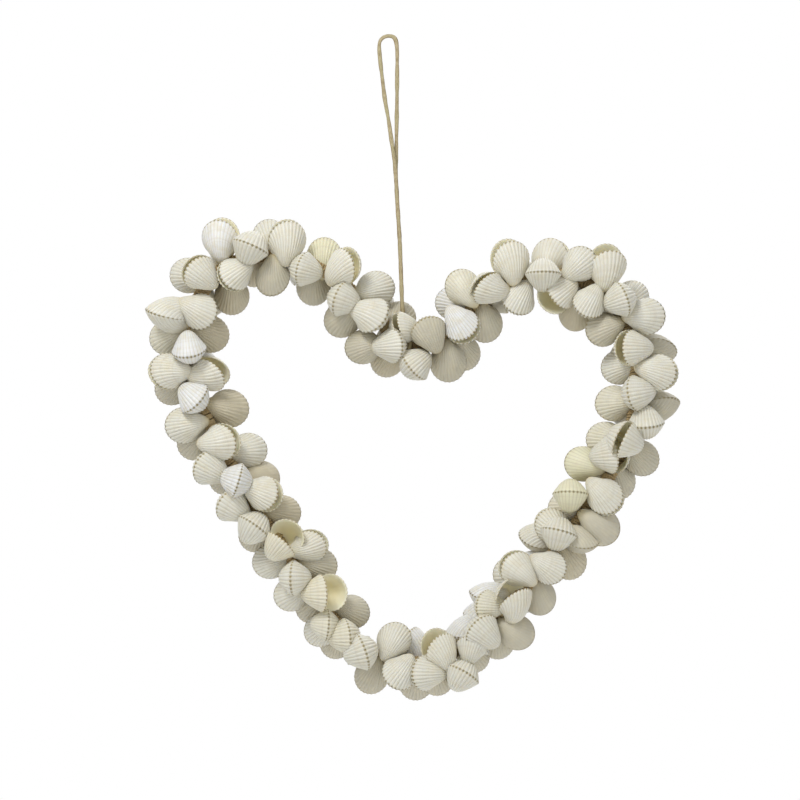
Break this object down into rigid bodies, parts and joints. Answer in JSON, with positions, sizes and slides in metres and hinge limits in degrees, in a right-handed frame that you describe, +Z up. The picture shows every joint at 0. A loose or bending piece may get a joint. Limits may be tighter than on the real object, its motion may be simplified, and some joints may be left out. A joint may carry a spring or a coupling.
{
  "type": "cockle shell heart wreath",
  "caption": "Heart-shaped hanging wreath of small white cockle shells glued round a twine-wound ring, hung from a raffia loop.",
  "frame": {"origin": "hang point: middle of the top bend of the hanging loop, on its inner side", "axes": "+Z up as the wreath hangs; -Y is the front, towards the viewer; +X to the viewer's right"},
  "size_m": [0.3209, 0.0595, 0.4008],
  "materials": {
    "shell": "satin chalky shell",
    "twine": "rough brown twine",
    "raffia": "dry raffia"
  },
  "bodies": {
    "root": {"cockles_cleft_1": "shell", "cockles_cleft_2": "shell", "cockles_left_lobe_1": "shell", "cockles_left_lobe_10": "shell", "cockles_left_lobe_2": "shell", "cockles_left_lobe_3": "shell", "cockles_left_lobe_4": "shell", "cockles_left_lobe_5": "shell", "cockles_left_lobe_6": "shell", "cockles_left_lobe_7": "shell", "cockles_left_lobe_8": "shell", "cockles_left_lobe_9": "shell", "cockles_left_side_1": "shell", "cockles_left_side_10": "shell", "cockles_left_side_11": "shell", "cockles_left_side_12": "shell", "cockles_left_side_2": "shell", "cockles_left_side_3": "shell", "cockles_left_side_4": "shell", "cockles_left_side_5": "shell", "cockles_left_side_6": "shell", "cockles_left_side_7": "shell", "cockles_left_side_8": "shell", "cockles_left_side_9": "shell", "cockles_point_1": "shell", "cockles_point_2": "shell", "cockles_point_3": "shell", "cockles_point_4": "shell", "cockles_point_5": "shell", "cockles_point_6": "shell", "cockles_point_7": "shell", "cockles_right_lobe_1": "shell", "cockles_right_lobe_10": "shell", "cockles_right_lobe_11": "shell", "cockles_right_lobe_12": "shell", "cockles_right_lobe_13": "shell", "cockles_right_lobe_2": "shell", "cockles_right_lobe_3": "shell", "cockles_right_lobe_4": "shell", "cockles_right_lobe_5": "shell", "cockles_right_lobe_6": "shell", "cockles_right_lobe_7": "shell", "cockles_right_lobe_8": "shell", "cockles_right_lobe_9": "shell", "cockles_right_side_1": "shell", "cockles_right_side_10": "shell", "cockles_right_side_11": "shell", "cockles_right_side_12": "shell", "cockles_right_side_13": "shell", "cockles_right_side_2": "shell", "cockles_right_side_3": "shell", "cockles_right_side_4": "shell", "cockles_right_side_5": "shell", "cockles_right_side_6": "shell", "cockles_right_side_7": "shell", "cockles_right_side_8": "shell", "cockles_right_side_9": "shell", "hanging_knot": "raffia", "hanging_loop": "raffia", "heart_ring": "twine"}
  },
  "joints": []
}
